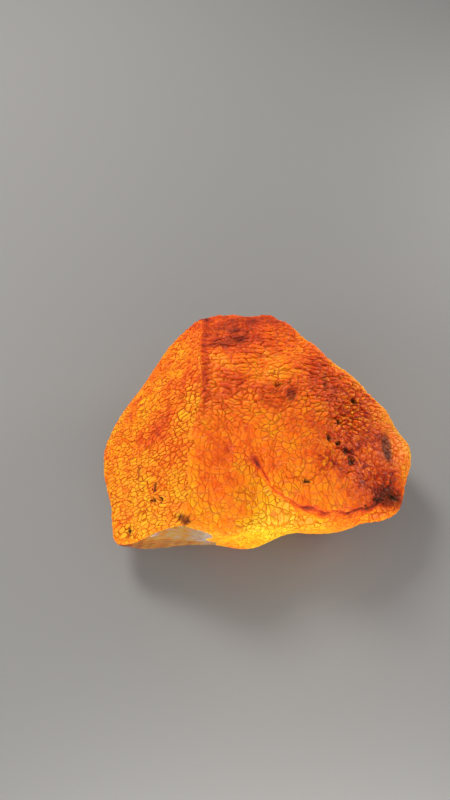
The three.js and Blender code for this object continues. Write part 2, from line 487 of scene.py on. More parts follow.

# %% [markdown]
# ## Tone
#
# Weathering turns the yellow resin orange, then red, then brown. So one number per point, the tone, is
# enough to place its colour: 0 is brown rind, 1 is yellow resin. The tone is painted a little darker towards
# the back, for light that came in at the front edge and faded on its way, and each zone adds or takes its
# share. Some zones are painted light as well: glow near the front and on the right rim, shade by the ridge
# and lip.

# %% Tone
TONE = 0.505  # tone of the crust where no zone reaches
# Painted light: the tone falls away from the front, as light that came in at the front edge faded on its
# way.
PAINTED_LIGHT_FALL = 0.0022  # how much darker it gets for each mm away from the front
PAINTED_LIGHT_FALL_START = 30.0  # distance behind the front edge where that fall is nil, mm
# name: (middle in mm, reach in mm, change of tone)
TONE_ZONES = {
    "top_block": ((-2, 26, 30), (16, 8, 12), -0.20),
    "top_cloud": ((-8, 18, 32), (5.5, 3.8, 6), -0.26),
    "upper_band": ((1, 2, 34), (13, 3, 5), -0.12),
    "upper_light": ((1, 8, 34), (12, 3, 5), 0.06),
    "shoulder": ((16, 8, 32), (4, 9, 6), -0.21),
    "plateau": ((24, -6, 27), (6, 9, 8), -0.13),
    "rim_foot": ((33, -20, 19), (8, 5, 8), -0.34),
    # rim_glow, rim_middle_glow and rim_upper_glow are painted glow along the right rim.
    "rim_glow": ((34.5, -0.5, 22), (2.8, 4.5, 5), 0.24),
    "rim_middle_glow": ((28.5, 6.5, 27), (3.5, 3, 4), 0.15),
    "rim_upper_glow": ((21.5, 11.5, 30), (4.5, 2.6, 4), 0.12),
    "plain_blush": ((-26.6, -5, 23.5), (3, 3, 4), -0.13),
    "dark_streak": ((32.5, -8, 22), (2.4, 7, 5), -0.26),
    "left_arc": ((-25, -5, 25), (3.5, 4, 6), -0.10),
    "ridge_foot": ((-19.5, -13, 27), (2, 7, 6), -0.12),
    "apex": ((-1, -15, 28), (2.6, 2.4, 3), -0.17),
    "lobe": ((20, -20, 26), (9, 5, 6), -0.10),
    # bank_glow is painted glow: lighter near the front edge, where the light came in.
    "bank_glow": ((6, -28, 18), (9, 6, 8), 0.09),
    "bank_right": ((23, -28, 14), (9, 6, 9), -0.20),
    # nose is painted glow too: the front of the nose is lighter where the light came in.
    "nose": ((-3, -31, 18), (12, 8, 9), 0.15),
    "front_left": ((-28, -27, 17), (10, 6, 7), 0.08),
    "left_edge": ((-38, -12, 15), (5, 15, 10), 0.06),
}
# Painted shade: how much darker the strip beside the ridge and the line along the lip's step are made.
RIDGE_PAINTED_SHADE, LIP_PAINTED_SHADE = 0.20, 0.40
# Painted glow: how much lighter the right rim and the bank are made.
RIM_PAINTED_GLOW, BANK_PAINTED_GLOW = 0.14, 0.19
# Painted light: the two facets of the plain on the left are made lighter, for the light that they catch.
FACET_PAINTED_LIGHT = {"left_front": 0.09, "left_back": 0.09}
TONE_CLOUDS = ((0.05, 14.0, 11), (0.03, 5.0, 12))  # (change of tone, wavelength in mm, seed)


def tone_at(points):
    """Tone, less a painted fall of light towards the back, plus each zone, painted facet light and two
    wanders.
    """
    tone = TONE - PAINTED_LIGHT_FALL * (points[:, 1] - points[:, 1].min() - PAINTED_LIGHT_FALL_START)
    for middle, reach, amount in TONE_ZONES.values():
        tone = tone + amount * blob(points, middle, reach)
    for name, amount in FACET_PAINTED_LIGHT.items():
        tone = tone + amount * facet_share(name)
    for amount, wavelength, seed in TONE_CLOUDS:
        tone = tone + amount * wander(points, wavelength, seed)
    return tone


# The tone takes painted shade beside the ridge and along the lip, and painted glow on the bank and the right
# rim.
ridge_painted_shade = grow(past_ridge, 0, 0.4) * (1 - grow(past_ridge, 1.6, 2.4)) * grow(skin_y, -12, 10)
tone = tone_at(skin) - RIDGE_PAINTED_SHADE * ridge_painted_shade - LIP_PAINTED_SHADE * lip_painted_shade + BANK_PAINTED_GLOW * bank + RIM_PAINTED_GLOW * rim_painted_glow
print("tone runs from", round(float(tone.min()), 2), "to", round(float(tone.max()), 2))

# %% [markdown]
# ## Cells
#
# The crust is cracked into plates, and a Voronoi pattern cuts a surface into plates in the same way: every
# place belongs to its nearest seed, and a crack runs wherever two seeds are equally near. The material
# draws hair-thin cracks with Blender's own Voronoi texture. The mesh needs the very same pattern, so that
# its grooves lie under those lines. So this cell does the texture's sum in numpy, with the texture's own
# way of scrambling a cell's whole-number place into a seed's position.

# %% Cells
SCATTER = 0.85  # how far seeds stray from a regular lattice
NEIGHBOURS = np.stack(np.meshgrid(*[[-1, 0, 1]] * 3, indexing="ij"), -1).reshape(-1, 3)
WORD, WORD_BYTES, LARGEST_WORD = np.uint32, 4, 0xFFFFFFFF
SCRAMBLE_START = 0xDEADBEEF + 13  # the texture's own starting word, less what the number of inputs adds
np.seterr(over="ignore")  # these words are meant to run over


def roll(word, count):
    """A 32-bit word turned left by count bits."""
    return (word << WORD(count)) | (word >> WORD(32 - count))


def stir(a, b, c):
    """A round that mixes three words into each other, with the words changing places at each step."""
    for count in (4, 6, 8, 16, 19, 4):
        a = (a - c) ^ roll(c, count)
        c = c + b
        a, b, c = b, c, a
    return a, b, c


def settle(a, b, c):
    """The last round, which leaves one word."""
    for count in (14, 11, 25, 16, 4, 14, 24):
        c = (c ^ b) - roll(b, count)
        a, b, c = b, c, a
    return b


def seeds_in(cells):
    """Three numbers from 0 to 1 for each cell, scrambled out of the bits of its place."""
    words = [np.ascontiguousarray(cells[..., i] + 0.0, dtype=np.float32).view(WORD) for i in range(3)]
    start = WORD(SCRAMBLE_START + 3 * WORD_BYTES)
    found = [settle(*(word + start for word in words))]
    start = WORD(SCRAMBLE_START + 4 * WORD_BYTES)
    for extra in (1.0, 2.0):
        a, b, c = stir(*(word + start for word in words))
        found.append(settle(a + np.float32(extra).view(WORD), b, c))
    return np.stack(found, -1) / LARGEST_WORD


def crack_map(places):
    """Distance to the nearest crack, in cells, and a random number for the plate that a place is on.

    A crack is the plane half way from the nearest seed to another one, and the smallest of the distances
    to those planes counts.
    """
    cells = np.floor(places)
    random = seeds_in(cells[:, None] + NEIGHBOURS)
    seeds = NEIGHBOURS + SCATTER * random - (places - cells)[:, None]
    pick = np.arange(len(places)), (seeds**2).sum(-1).argmin(1)
    nearest = seeds[pick][:, None]
    apart = seeds - nearest
    gap = np.linalg.norm(apart, axis=-1)
    distance = ((seeds + nearest) / 2 * apart).sum(-1) / np.maximum(gap, 1e-9)
    return np.where(gap > 0.01, distance, np.inf).min(1), random[pick][:, 0]


print("the cell at the origin has its seed at", (SCATTER * seeds_in(np.zeros(3))).round(2), "cells")

# %% [markdown]
# ## Crackle
#
# Plates differ by zone, so places are counted in plates before the pattern is asked for: where plates are
# small, a millimetre holds more of them. The plain on the left is counted on its own, along its slope, and
# so the pattern breaks off at the ridge, as it does on real amber. Two wanders push the places about, so
# that no row runs straight.

# %% Crackle
PLATE = 0.64  # plates per mm across the lump
TOP_WIDENS = 0.42  # share by which that number falls towards the top
PLATE_FRONT, PLATE_TOP, PLATE_BANK = 0.56, 0.86, 0.42  # plates per mm along Y, by zone
TOP_START, BANK_START, TURN_WIDTH = -8.0, -21.0, 2.5  # where along Y the zones begin, mm
BRICK = np.array([0.60, 1.05, 0.30])  # bricks per mm on the plain
BRICK_TURN = math.radians(-14)  # how much the rows of bricks turn in plan
BRICK_SHIFT = 20.0  # bricks, which takes them to cells of their own
PUSHES = ((0.30, 9.0, 20), (0.09, 2.4, 30))  # (plates, wavelength in mm, first of three seeds)
GRAIN_PUSH = 0.12  # grains
FISSURE_SCALE = 0.27
GRAIN = np.array([1.15, 1.3, 1.15])  # grains per mm where the crust crumbled


def soft_ramp(t):
    """The integral of a smooth step: 0 far below 0, and t far above it."""
    return np.logaddexp(0, t)


def three_wanders(points, wavelength, seed):
    """A wander for each axis."""
    return np.stack([wander(points, wavelength, seed + i) for i in range(3)], -1)


def crackle_places(points):
    """Places counted in plates along each axis, then pushed about by two wanders."""
    x, y, z = points.T
    towards_top = TURN_WIDTH * soft_ramp((y - TOP_START) / TURN_WIDTH)
    towards_bank = TURN_WIDTH * soft_ramp((BANK_START - y) / TURN_WIDTH) * grow(x, -4, 8)
    along = PLATE_FRONT * y + (PLATE_TOP - PLATE_FRONT) * towards_top
    along = along + (PLATE_FRONT - PLATE_BANK) * towards_bank
    across = PLATE * x * (1 - TOP_WIDENS * grow(y, -10, 16))
    plates = np.stack([across, along, PLATE * z], -1)
    c, s = math.cos(BRICK_TURN), math.sin(BRICK_TURN)
    bricks = np.stack([c * x - s * y, s * x + c * y, z], -1) * BRICK + BRICK_SHIFT
    places = np.where(plain[:, None] > 0.5, bricks, plates)
    for amount, wavelength, seed in PUSHES:
        places = places + amount * three_wanders(points, wavelength, seed)
    return places


places = crackle_places(skin)
plates, plate_random = crack_map(places)
fissures, _ = crack_map(places * FISSURE_SCALE)
grain_places = skin * GRAIN + GRAIN_PUSH * three_wanders(skin, 1.8, seed=35)
grains, grain_random = crack_map(grain_places)
print("plates are up to", round(float(plates.max()), 2), "cells from crack to middle")

# %% [markdown]
# ## Pits
#
# Where a crumb of bark or sand sat on the resin, the crust has a ragged dark pit. A round dimple would look
# drilled, so each pit's reach is uneven: a quick wander is added to the blob before it is cut off.

# %% Pits
# name: (middle in mm, reach in mm, depth in mm)
PITS = {
    "left_pair_a": ((-26.1, -19.0, 20.0), (0.55, 1.1, 2.0), 0.6),
    "left_pair_b": ((-26.3, -22.0, 19.0), (1.0, 0.5, 2.0), 0.5),
    "left_pair_c": ((-24.2, -22.0, 20.2), (0.5, 0.7, 2.0), 0.5),
    "left_corner": ((-32.7, -28.4, 13.8), (0.7, 0.8, 2.0), 0.5),
    "upper_a": ((5.2, 3.1, 34.1), (0.9, 0.7, 2.0), 0.5),
    "rim_a": ((25.6, 1.6, 27.7), (0.9, 0.9, 2.0), 0.7),
    "plateau_a": ((20.8, -4.6, 28.6), (0.8, 0.8, 2.0), 0.6),
    "plateau_b": ((17.8, -9.2, 29.0), (0.7, 1.0, 2.0), 0.6),
    "plateau_c": ((19.9, -10.2, 28.2), (0.9, 0.6, 2.0), 0.7),
    "plateau_d": ((22.2, -11.9, 26.8), (1.3, 1.1, 2.5), 0.9),
    "plateau_e": ((23.6, -14.0, 25.6), (1.5, 1.8, 2.5), 0.4),
    "lobe_crack": ((11.4, -20.0, 27.1), (1.1, 0.4, 2.0), 0.4),
    "lip_end": ((26.6, -24.8, 21.8), (1.0, 0.8, 2.0), 0.6),
    "foot_a": ((30.0, -22.6, 20.5), (2.4, 0.8, 2.0), 0.5),
    "foot_b": ((35.0, -21.0, 18.6), (2.0, 1.0, 2.0), 0.5),
}
PIT_UNEVEN = ((0.30, 1.6, 41), (0.20, 0.9, 42))  # (share of the blob, wavelength in mm, seed)
PIT_EDGE = (0.30, 0.50)  # the blob's value where a pit begins, and how much more it takes to be full


def pit_field(points):
    """How deep the pits are at each point, and how near their middles it is, from 0 to 1."""
    depth, dirt = np.zeros(len(points)), np.zeros(len(points))
    uneven = sum(amount * wander(points, wavelength, seed) for amount, wavelength, seed in PIT_UNEVEN)
    for middle, reach, deep in PITS.values():
        near = blob(points, middle, reach)
        depth = np.maximum(depth, deep * grow(near + uneven * (near > 0.02), *PIT_EDGE))
        dirt = np.maximum(dirt, near)
    return depth, dirt


pit_depth, dirt = pit_field(skin)
print(len(PITS), "pits, the deepest", round(float(pit_depth.max()), 2), "mm")

# %% [markdown]
# ## Shadows
#
# What is sealed just under the crust is seen through it as a dark blur. The crust of this lump is too milky
# to show the flakes themselves well, so most of them get a soft shadow on the skin above them.

# %% Shadows
# name: (middle in mm, reach in mm, strength from 0 to 1)
SHADOWS = {
    "bud": ((-18.7, -27.8, 23.6), (1.0, 0.9, 3.0), 0.9),
    "bud_end": ((-17.6, -28.6, 23.4), (1.1, 0.9, 3.0), 0.95),
    "bud_tail": ((-19.8, -27.0, 24.0), (0.9, 1.0, 3.0), 0.35),
    "cloud_left": ((-9.6, 17.0, 32.0), (2.2, 1.3, 4.0), 0.45),
    "cloud_right": ((-5.4, 17.9, 32.0), (2.6, 1.0, 4.0), 0.5),
    "cloud_back": ((-9.5, 23.0, 29.0), (3.0, 1.4, 5.0), 0.25),
    "blot": ((8.4, 0.7, 33.6), (1.1, 1.6, 3.0), 0.6),
    "smear": ((17.6, 5.5, 31.8), (0.8, 2.6, 3.0), 0.5),
    "arc": ((-30.4, -14.4, 19.0), (0.5, 1.9, 3.0), 0.5),
    "flake": ((34.0, -8.6, 20.8), (1.4, 3.9, 4.0), 0.95),
    "foot": ((34.0, -21.5, 17.0), (4.5, 2.0, 4.0), 0.6),
}
SHADOW_FULL = 1.5  # how many times over a shadow's blob is counted, up to its full strength
SHADOW_UNEVEN = 0.15


def shadow_field(points):
    """The strongest shadow at each point, made a little uneven."""
    shade = np.zeros(len(points))
    for middle, reach, strength in SHADOWS.values():
        shade = np.maximum(shade, strength * fade(SHADOW_FULL * blob(points, middle, reach)))
    return shade * (1 + SHADOW_UNEVEN * wander(points, 1.5, seed=43))


shade = shadow_field(skin)
print("shadows lie on", round(100 * (shade > 0.1).mean(), 1), "% of the points")

# %% [markdown]
# ## Relief
#
# Everything that the crackle cuts is a push inwards along the skin's normal, in millimetres: grooves
# between plates, plates that sit a little higher or lower than their neighbours, deep fissures, crumbled
# grains on the plateau, a steep narrow bank beside the ridge, and the ribs that a shock left in the fresh
# break. These are added up and taken off the smooth skin once. The sizes are real ones, so the outline
# shows them too.

# %% Relief
GROOVE, DOME, LIFT = 0.15, 0.12, 0.15  # mm
GROOVE_WIDTH, DOME_WIDTH = 0.13, 0.45  # cells
FISSURE, CRUMBLE, RAG = 0.24, 0.40, 0.5  # mm
FISSURE_WIDTH, GRAIN_WIDTH = 0.05, 0.35  # cells
FISSURED_LOBE = ((15, -18, 27), (9, 6, 6))  # the lobe's middle has fissures too: middle, reach, mm
RIDGE_DROP = 0.22  # mm
BREAK_DROP = 0.15  # mm
RIB_MIDDLE = np.array([-21.0, -30.0, -14.0])  # the place that the ribs run round
RIB_LENGTH, RIB_HEIGHT, RIB_WANDER = 2.2, 0.09, 1.3  # mm from rib to rib, mm, radians


def by_zone(middle, **shares):
    """A number that is middle on the open crust, and changes by a share of each zone named."""
    return middle + sum(share * zones[name] for name, share in shares.items())


def groove(distance, width):
    """1 in a crack, and 0 from a width away from it on."""
    return 1 - grow(distance, 0, width)


zones = {"plain": plain, "upper": upper, "grit": grit, "bank": bank}
rough = by_zone(0.6, upper=1.1, grit=0.4, bank=-0.3, plain=0.8)
between = GROOVE * groove(plates, GROOVE_WIDTH) + DOME * groove(plates, DOME_WIDTH) + LIFT * plate_random
fissured = 0.3 + 0.7 * np.clip(upper + grit + blob(skin, *FISSURED_LOBE), 0, 1)
fissure = FISSURE * fissured * groove(fissures, FISSURE_WIDTH)
crumbled = (CRUMBLE * grit + RAG * ragged) * (0.6 * groove(grains, GRAIN_WIDTH) + 0.4 * grain_random)
beside_ridge = grow(past_ridge, 0, 1.8) * (1 - grow(past_ridge, 2.5, 9)) * grow(skin_y, -14, 14)
rib_turn = np.linalg.norm(skin - RIB_MIDDLE, axis=-1) * 2 * math.pi / RIB_LENGTH
rib_turn = rib_turn + RIB_WANDER * wander(skin, 8.0, seed=52)
sunk = crusty * (rough * between + fissure + crumbled + pit_depth + RIDGE_DROP * beside_ridge)
sunk = sunk + fresh * (BREAK_DROP + RIB_HEIGHT * np.sin(rib_turn))
surface = skin - facing * sunk[:, None]
surface[:, 2] = np.maximum(surface[:, 2], 0.0)
print("relief is up to", round(float(sunk.max()), 2), "mm deep")

# %% [markdown]
# ## Seams and streaks
#
# Three more numbers are kept for the finish. How dark the seams between plates are depends on the zone:
# dirt filled the cracks on the plain and hardly reached those in the middle. How thin they are does too,
# and a larger number for hair draws thinner lines. The clear break has streaks that run with its ribs: a
# pale band of painted light under the crust's edge and at the right, where light shines through the break,
# yellow resin below it, and brown at the left end.

# %% Seams and streaks
STREAK = 0.42
# Painted light: the pale top and right of the break stand for light shining through the clear resin.
PAINTED_LIGHT_TOP, PAINTED_LIGHT_RIGHT, BROWN_LEFT = 0.26, 0.28, -0.30  # what each end of the break adds to its streak
RIPPLE, RIPPLES_PER_RIB, STREAK_CLOUD = 0.13, 2.3, 0.12

zones["plain_front"] = plain * grow(-skin_y, 8, 10)
seams = by_zone(0.60, plain=0.36, upper=0.08, bank=0.26)
hair = by_zone(1.25, plain=-0.25, upper=-0.20, bank=0.30, plain_front=0.25)
streak = STREAK + PAINTED_LIGHT_TOP * grow(skin_z, 14, 2.5) * grow(skin_x, -33, 3)
streak = streak + PAINTED_LIGHT_RIGHT * grow(skin_x, -17, 4) + BROWN_LEFT * grow(-skin_x, 30, 3)
streak = streak + RIPPLE * np.sin(RIPPLES_PER_RIB * rib_turn) + STREAK_CLOUD * wander(skin, 2.0, seed=51)
print("seams run from", round(float(seams.min()), 2), "to", round(float(seams.max()), 2))

# %% [markdown]
# ## The crust as a mesh
#
# The points and squares go into a mesh once, as whole arrays, and what the material has to know is kept at
# each point: its place in the cell pattern, its tone, and the masks.

# %% Mesh of the crust
def make_piece(name, points, faces, slot, **attributes):
    """A smooth-shaded mesh from points in mm, with a number or a vector kept at every point."""
    mesh = bpy.data.meshes.new(name)
    mesh.from_pydata((points * MM).tolist(), [], faces.tolist())
    mesh.polygons.foreach_set("use_smooth", np.ones(len(faces), bool))
    for label, values in attributes.items():
        vector = values.ndim == 2
        layer = mesh.attributes.new(label, "FLOAT_VECTOR" if vector else "FLOAT", "POINT")
        layer.data.foreach_set("vector" if vector else "value", values.astype(np.float32).ravel())
    piece = bpy.data.objects.new(name, mesh)
    bpy.context.scene.collection.objects.link(piece)
    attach(piece, "root")
    return piece


crust = make_piece(
    "amber_lump_crust",
    surface,
    squares,
    "amber",
    places=places,
    grain_places=grain_places,
    tone=tone,
    fresh=fresh,
    grit=grit,
    rough=rough,
    dirt=dirt * crusty,
    seams=seams,
    hair=hair,
    shade=shade * crusty,
    streak=streak,
)
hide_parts("amber_lump")
print(crust.name, "has", len(crust.data.vertices), "points")

# %% [markdown]
# ## What the resin caught
#
# Fresh resin is sticky. It caught crumbs of bark and leaf, which are sealed in it now as dark flakes, and
# air, which is sealed in it as bubbles. Earth stuck in the pits of the crust much later. All of these are
# little balls, each pulled, made uneven and turned in its own way. One mesh holds all balls of a kind,
# because a hundred separate objects would be slow to handle. Every ball is placed by the point of the crust
# that is nearest to it, moved in along the normal there by as much as it lies deep.

# %% Small bodies
BALL_GRID = (5, 5, 5)  # squares along each edge of the box that a ball is made from
BODY_WAVE, BODY_APART = 1.7, 7.0  # a body's unevenness: wavelength, and how far apart two bodies' are
ball_points, ball_squares = box_grid(BALL_GRID)
ball = unit(np.tan(ball_points * math.pi / 4))


def under_skin(near, deep):
    """The point of the crust nearest to each place, moved in along its normal."""
    nearest = ((near[:, None] - surface) ** 2).sum(-1).argmin(1)
    return surface[nearest] - deep[:, None] * facing[nearest]


def small_bodies(middles, halves, turns, uneven, seed):
    """For each middle, middle + turned(half size * (1 + uneven * wander) * point of a ball)."""
    count = len(middles)
    shift = BODY_APART * np.arange(count)[:, None, None]
    points = halves[:, None] * ball * (1 + uneven * wander(ball + shift, BODY_WAVE, seed))[..., None]
    c, s = np.cos(turns)[:, None], np.sin(turns)[:, None]
    x, y, z = points[..., 0], points[..., 1], points[..., 2]
    points = np.stack([c * x - s * y, s * x + c * y, z], -1) + middles[:, None]
    faces = ball_squares + len(ball) * np.arange(count)[:, None, None]
    return points.reshape(-1, 3), faces.reshape(-1, 4)


print("a small body has", 2 * len(ball_squares), "triangles")

# %% [markdown]
# ## Flakes of plants
#
# A flake of bark or leaf is thin and dark. Most of them lie in one cloud near the top, and one long flake
# stands in the rim on the right.

# %% Plant flakes
# name: (place of the nearest skin in mm, half sizes in mm, turn in degrees, how deep it lies in mm)
SEALED = {
    "bud": ((-18.1, -28.2, 23.5), (1.7, 0.8, 0.5), -38, 1.0),
    "cloud_a": ((-9.5, 17.3, 32.0), (1.8, 0.9, 0.3), 10, 1.3),
    "cloud_b": ((-6.0, 18.6, 31.8), (1.5, 0.7, 0.3), -20, 1.6),
    "cloud_c": ((-3.2, 18.0, 31.9), (1.3, 0.5, 0.2), 25, 1.2),
    "cloud_d": ((-8.0, 20.4, 31.0), (2.0, 0.8, 0.4), 5, 1.9),
    "cloud_e": ((-8.7, 24.2, 29.0), (1.7, 0.9, 0.3), -12, 1.4),
    "flake": ((34.0, -8.5, 20.8), (0.5, 3.0, 0.3), -4, 0.8),
    "smear": ((17.6, 5.4, 31.8), (0.4, 1.9, 0.2), 8, 0.8),
    "arc": ((-30.4, -14.4, 19.0), (0.25, 1.3, 0.2), 12, 0.6),
    "foot": ((33.5, -21.5, 17.5), (2.4, 1.0, 0.4), 20, 0.8),
}
FLAKE_UNEVEN = 0.28

flake_near, flake_halves, turns, deep = (np.array(part, float) for part in zip(*SEALED.values()))
flake_middles = under_skin(flake_near, deep)
flakes = small_bodies(flake_middles, flake_halves, np.radians(turns), FLAKE_UNEVEN, seed=71)
debris = make_piece("sealed_plant_flakes", *flakes, "sealed_debris")
print(len(SEALED), "flakes")

# %% [markdown]
# ## Earth and air
#
# Each pit keeps a few crumbs of earth, scattered around its middle and half sunk in the crust. A few round
# bubbles of air float behind the clear break, the one place where the crust doesn't hide them.

# %% Crumbs and bubbles
CRUMBS = 4  # crumbs of earth in each pit
CRUMB_SIZES, CRUMB_DEEP, CRUMB_UNEVEN = (0.10, 0.28), 0.12, 0.3  # half sizes in mm, mm, share
CRUMB_SCATTER = np.array([0.5, 0.5, 0.1])  # share of the pit's reach
BUBBLES = 16
BUBBLE_HEART, BUBBLE_REACH = (-23.0, -30.0, 9.0), (6.5, 1.0, 4.0)  # where the bubbles lie, mm
BUBBLE_SIZES, BUBBLE_DEEP = (0.15, 0.45), (0.9, 3.0)  # mm

chance = np.random.default_rng(72)
pits = zip(*PITS.values())
pit_middles, pit_reaches, _ = (np.repeat(np.array(part, float), CRUMBS, axis=0) for part in pits)
crumb_near = pit_middles + chance.normal(size=pit_middles.shape) * pit_reaches * CRUMB_SCATTER
crumb_halves = chance.uniform(*CRUMB_SIZES, crumb_near.shape)
crumb_middles = under_skin(crumb_near, np.full(len(crumb_near), CRUMB_DEEP))
crumb_turns = chance.uniform(0, math.pi, len(crumb_near))
earth = small_bodies(crumb_middles, crumb_halves, crumb_turns, CRUMB_UNEVEN, seed=73)
crumbs = make_piece("pit_crumbs", *earth, "pit_dirt")

bubble_near = np.array(BUBBLE_HEART) + chance.uniform(-1, 1, (BUBBLES, 3)) * BUBBLE_REACH
bubble_halves = chance.uniform(*BUBBLE_SIZES, (BUBBLES, 1)) * np.ones(3)
bubble_middles = under_skin(bubble_near, chance.uniform(*BUBBLE_DEEP, BUBBLES))
air = small_bodies(bubble_middles, bubble_halves, np.zeros(BUBBLES), 0.0, seed=74)
bubbles = make_piece("sealed_bubbles", *air, "sealed_flaw")
print(len(crumb_near), "crumbs and", BUBBLES, "bubbles")

# %% [markdown]
# ## Small tools for node materials
#
# A material is a little circuit. Written out link by link it would be long and hard to read, so a few short
# functions stand for the parts that repeat: a node with its inputs, a step of arithmetic, a range that is
# fitted to another, a number kept in the mesh, the cell pattern, and one colour over another.

# %% Node tools
def add(tree, kind, settings=None, **inputs):
    """A node with its settings and inputs. An input given as a socket is linked."""
    node = tree.nodes.new(kind)
    for label, value in (settings or {}).items():
        setattr(node, label, value)
    for label, value in inputs.items():
        socket = node.inputs[int(label[1:]) if label[1:].isdigit() else label.replace("_", " ")]
        if isinstance(value, bpy.types.NodeSocket):
            tree.links.new(value, socket)
        else:
            socket.default_value = value
    return node


def calc(tree, operation, *values):
    """One step of arithmetic on sockets or numbers."""
    inputs = {f"i{index}": value for index, value in enumerate(values)}
    return add(tree, "ShaderNodeMath", {"operation": operation}, **inputs).outputs[0]


def ranged(tree, value, low, high, to_low, to_high):
    """A value between low and high, taken smoothly to between to_low and to_high."""
    node = add(tree, "ShaderNodeMapRange", {"interpolation_type": "SMOOTHSTEP"}, Value=value)
    for label, number in zip(("From Min", "From Max", "To Min", "To Max"), (low, high, to_low, to_high)):
        node.inputs[label].default_value = number
    return node.outputs[0]


def stored(tree, name, output="Fac"):
    """What the mesh keeps at each point under a name."""
    return add(tree, "ShaderNodeAttribute", {"attribute_name": name}).outputs[output]


def cells(tree, places, scale, feature):
    """Blender's Voronoi texture at stored places."""
    settings = {"feature": feature}
    return add(tree, "ShaderNodeTexVoronoi", settings, Vector=places, Scale=scale, Randomness=SCATTER)


def mixed(tree, amount, below, above):
    """One colour laid over another by an amount."""
    return add(tree, "ShaderNodeMix", {"data_type": "RGBA"}, i0=amount, i6=below, i7=above).outputs[2]


print("node tools: add, calc, ranged, stored, cells and mixed")

# %% [markdown]
# ## Cracks as lines
#
# The grooves in the mesh are a fraction of a millimetre wide, so the cracks need colour too. They are drawn
# with the texture that the grooves were worked out from: hair-thin lines between plates, wider ones along
# fissures, and a net of grains where the crust crumbled. Dirt didn't reach every crack, and so a soft cloud
# thins the lines in places, but never where the seams are full of it.

# %% Crack lines
# (cells from a crack up to which a line is full, cells where it has ended, its strength)
HAIR_LINE, FISSURE_LINE, GRAIN_LINE = (0.02, 0.14, 0.95), (0.006, 0.026, 0.7), (0.03, 0.2, 0.9)
THINNED = (0.40, 0.60, 0.3, 1.0)  # the cloud's values, and the shares of a line that they leave
FULL_SEAMS, SEAM_HOLD = 0.4, 1.5  # seams darker than this resist the cloud, and how strongly


def crack_line(tree, distance, full, ended, strength):
    """A line that is full where the distance is small, and gone where it is large."""
    return ranged(tree, distance, full, ended, strength, 0.0)


def crack_lines(tree, places, grit, cloud):
    """The strongest line at each place, thinned by the cloud, and the distance to the edge of the plate."""
    plate = cells(tree, places, 1.0, "DISTANCE_TO_EDGE").outputs[0]
    fissure = cells(tree, places, FISSURE_SCALE, "DISTANCE_TO_EDGE").outputs[0]
    grain = cells(tree, stored(tree, "grain_places", "Vector"), 1.0, "DISTANCE_TO_EDGE").outputs[0]
    seams = stored(tree, "seams")
    thin = crack_line(tree, calc(tree, "MULTIPLY", plate, stored(tree, "hair")), *HAIR_LINE)
    thin = calc(tree, "MULTIPLY", thin, seams)
    net = calc(tree, "MULTIPLY", crack_line(tree, grain, *GRAIN_LINE), grit)
    lines = calc(tree, "MAXIMUM", calc(tree, "MAXIMUM", thin, crack_line(tree, fissure, *FISSURE_LINE)), net)
    held = calc(tree, "MULTIPLY", calc(tree, "SUBTRACT", seams, FULL_SEAMS), SEAM_HOLD)
    left = calc(tree, "MAXIMUM", ranged(tree, cloud, *THINNED), held)
    return calc(tree, "MULTIPLY", lines, left), plate


print("hair lines are up to", HAIR_LINE[1], "cells wide on each side of a crack")

# %% [markdown]
# ## Colour by age
#
# The tone picks a colour from a ramp that runs from brown rind through red and orange to yellow resin. Each
# plate, each crumbled grain, a slow cloud and fine specks nudge the tone first, because an even colour looks
# like plastic. The clear break has a ramp of its own, for its streaks; its pale end is painted light, for
# light shining through the break.

# %% Colour ramps
RAMP = (  # tone, colour
    (0.00, (0.085, 0.010, 0.003)),
    (0.15, (0.30, 0.022, 0.004)),
    (0.32, (0.66, 0.085, 0.004)),
    (0.50, (0.93, 0.22, 0.004)),
    (0.68, (0.96, 0.36, 0.004)),
    (0.85, (0.98, 0.51, 0.006)),
    (1.00, (1.0, 0.66, 0.02)),
)
# The pale end of this ramp is painted light, for light shining through the clear break.
FRESH_RAMP = (  # streak, colour
    (0.00, (0.13, 0.06, 0.02)),
    (0.35, (0.75, 0.30, 0.02)),
    (0.60, (0.95, 0.56, 0.09)),
    (0.85, (0.72, 0.62, 0.45)),
    (1.00, (0.86, 0.84, 0.80)),
)
# (lowest and highest value, and the changes of tone that they make)
PLATE_NUDGE, GRAIN_NUDGE = (0.0, 1.0, -0.045, 0.045), (0.0, 1.0, -0.30, 0.11)
CLOUD_NUDGE, SPECK_NUDGE = (0.25, 0.75, -0.10, 0.10), (0.25, 0.75, -0.07, 0.07)


def ramp_of(tree, value, tones):
    """The colour that a value has on a ramp of (place, colour) pairs."""
    ramp = add(tree, "ShaderNodeValToRGB", None, Fac=value)
    stops = ramp.color_ramp.elements
    while len(stops) < len(tones):
        stops.new(0.5)
    for stop, (at, colour) in zip(stops, tones):
        stop.position = at
        stop.color = (*colour, 1.0)
    return ramp.outputs[0]


def cell_random(tree, places):
    """A random number for each cell: the red part of its random colour."""
    colour = cells(tree, places, 1.0, "F1").outputs["Color"]
    return add(tree, "ShaderNodeSeparateColor", i0=colour).outputs[0]


def amber_tint(tree, places, grit, cloud, speck):
    """The stored tone, nudged by plate, cloud, speck and grain, and turned to a colour by the ramp."""
    tint = calc(tree, "ADD", stored(tree, "tone"), ranged(tree, cell_random(tree, places), *PLATE_NUDGE))
    tint = calc(tree, "ADD", tint, ranged(tree, cloud, *CLOUD_NUDGE))
    tint = calc(tree, "ADD", tint, ranged(tree, speck, *SPECK_NUDGE))
    grain = ranged(tree, cell_random(tree, stored(tree, "grain_places", "Vector")), *GRAIN_NUDGE)
    return ramp_of(tree, calc(tree, "ADD", tint, calc(tree, "MULTIPLY", grit, grain)), RAMP)


print("the ramps have", len(RAMP), "and", len(FRESH_RAMP), "colours")

